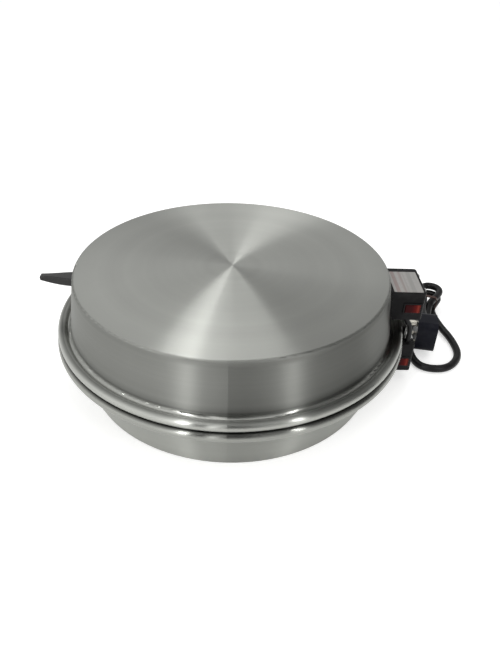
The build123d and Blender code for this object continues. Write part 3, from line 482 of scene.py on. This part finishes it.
# Its end, over the bundle and into the plug
top_level = cord_lie + 2 * layer
route += [
    in_bundle(9.5, -waist_half, top_level + tie_lift),
    (-0.0834, 0.2284, top_level + 0.0016),
    (-0.0723, 0.2262, 0.0268),
    (-0.0585, 0.2238, 0.027),
]
cord = nurbs("power_cord", route, cord_radius)
cord.data.materials.append(cord_sleeve)
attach(cord, "base")
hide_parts("mains_cord", "cord_hank", "plug_cord")

# Sleeved lead between the two boxes, made a mesh from its curve
lead_radius = 0.0025
lead_x = 0.0215
lead_route = [
    (lead_x, 0.176, 0.0870),
    (lead_x, 0.176, 0.0785),
    (lead_x, 0.1856, 0.0665),
    (lead_x, 0.1834, 0.0440),
]
lead_curve = nurbs("lead_line", lead_route, lead_radius, resolution=16)
bpy.context.view_layer.update()
settled = lead_curve.evaluated_get(bpy.context.evaluated_depsgraph_get())
lead_mesh = bpy.data.meshes.new_from_object(settled)
bpy.data.objects.remove(lead_curve)
lead = bpy.data.objects.new("sleeved_lead", lead_mesh)
scene.collection.objects.link(lead)
lead_mesh.materials.clear()
lead_mesh.materials.append(cord_sleeve)
for face in lead_mesh.polygons:
    face.use_smooth = True
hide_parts("box_lead")
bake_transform(lead)

# Floor: white to the camera and in reflections, with the object's soft shadow kept
floor_reach = 30.0
floor_drop = 0.0002
floor_glow = 0.5
white = (1.0, 1.0, 1.0, 1.0)
ways_out = ((-1, -1), (1, -1), (1, 1), (-1, 1))
corners = [(x * floor_reach, y * floor_reach, 0) for x, y in ways_out]
floor_data = bpy.data.meshes.new("floor")
floor_data.from_pydata(corners, [], [(0, 1, 2, 3)])
floor = bpy.data.objects.new("floor", floor_data)
floor.location.z = -floor_drop
scene.collection.objects.link(floor)
paint = Mat("floor", Roughness=0.9, Base_Color=(0.80, 0.80, 0.79, 1.0), Emission_Color=white)
rays = paint.node("ShaderNodeLightPath").outputs
shown = paint.math("MAXIMUM", rays["Is Camera Ray"], rays["Is Glossy Ray"])
shown = paint.math("MAXIMUM", shown, rays["Is Transmission Ray"])
paint.set("Emission Strength", paint.between(shown, 0.0, 1.0, 0.0, floor_glow))
floor_data.materials.append(paint.material)

# World: white to the camera, an even fill for what isn't a reflection, and in reflections a
# studio whose ceiling goes by the height of a direction and whose panels and gaps go by its
# heading, both from 0 to 1
fill_level = 0.62
world = bpy.data.worlds.new("studio")
scene.world = world
world.use_nodes = True
studio = Tree(world.node_tree)
way = studio.axes(studio.node("ShaderNodeTexCoord").outputs["Generated"])
height = studio.math("MULTIPLY_ADD", way["Z"], 0.5, 0.5)
ceiling = studio.ramp(height, greys([
    (0.0, 1.0), (0.55, 1.0), (0.7, 0.9), (0.8, 0.82), (1.0, 0.86),
]))
heading = studio.math("MULTIPLY_ADD", studio.math("ARCTAN2", way["Y"], way["X"]), 0.5 / pi, 0.5)
panels = studio.ramp(heading, greys([
    (0.0, 0.95), (0.15, 1.2), (0.30, 1.8), (0.38, 1.7), (0.415, 2.5), (0.437, 0.04),
    (0.462, 0.04), (0.470, 3.0), (0.478, 3.0), (0.486, 0.03), (0.53, 0.03), (0.56, 0.5),
    (0.60, 0.6), (0.617, 1.4), (0.635, 0.5), (0.71, 0.4), (0.735, 0.04), (0.765, 0.04),
    (0.785, 0.8), (0.83, 0.8), (0.845, 0.04), (0.875, 0.04), (0.90, 0.8),
]))
mirrored = studio.math("MULTIPLY", ceiling, panels)
rays = studio.node("ShaderNodeLightPath").outputs
extra = studio.math("SUBTRACT", mirrored, fill_level)
glossy = studio.math("MULTIPLY", rays["Is Glossy Ray"], extra)
seen = studio.math("MAXIMUM", rays["Is Camera Ray"], rays["Is Transmission Ray"])
filled = studio.math("ADD", glossy, fill_level)
strength = studio.math("MULTIPLY_ADD", seen, 1.0 - fill_level, filled)
background = world.node_tree.nodes["Background"]
background.inputs["Color"].default_value = white
studio.link(strength, background.inputs["Strength"])


def softbox(name, place, target, width, height, power):
    """A rectangular lamp that faces its target, with its power in watts."""
    data = bpy.data.lights.new(name, "AREA")
    data.shape = "RECTANGLE"
    data.size = width
    data.size_y = height
    data.energy = power
    made = bpy.data.objects.new(name, data)
    scene.collection.objects.link(made)
    made.location = place
    made.rotation_euler = (Vector(target) - Vector(place)).to_track_quat("-Z", "Y").to_euler()


lid_middle = (0, 0, 0.12)
wall_middle = (0, 0, 0.08)
softbox("broad", (-0.6, 0.01, 1.64), lid_middle, width=0.72, height=0.4, power=3.2)
softbox("strip", (-0.6, -0.35, 1.64), lid_middle, width=0.03, height=0.4, power=2.6)
softbox("front_left", (1.012, -0.494, 0.75), wall_middle, width=0.04, height=0.5, power=3.4)
softbox("front_right", (0.862, 0.724, 0.75), wall_middle, width=0.04, height=0.5, power=2.6)
softbox("top", (0.5, 0.1, 1.9), (0, 0, 0.1), width=1.2, height=1.2, power=4.0)
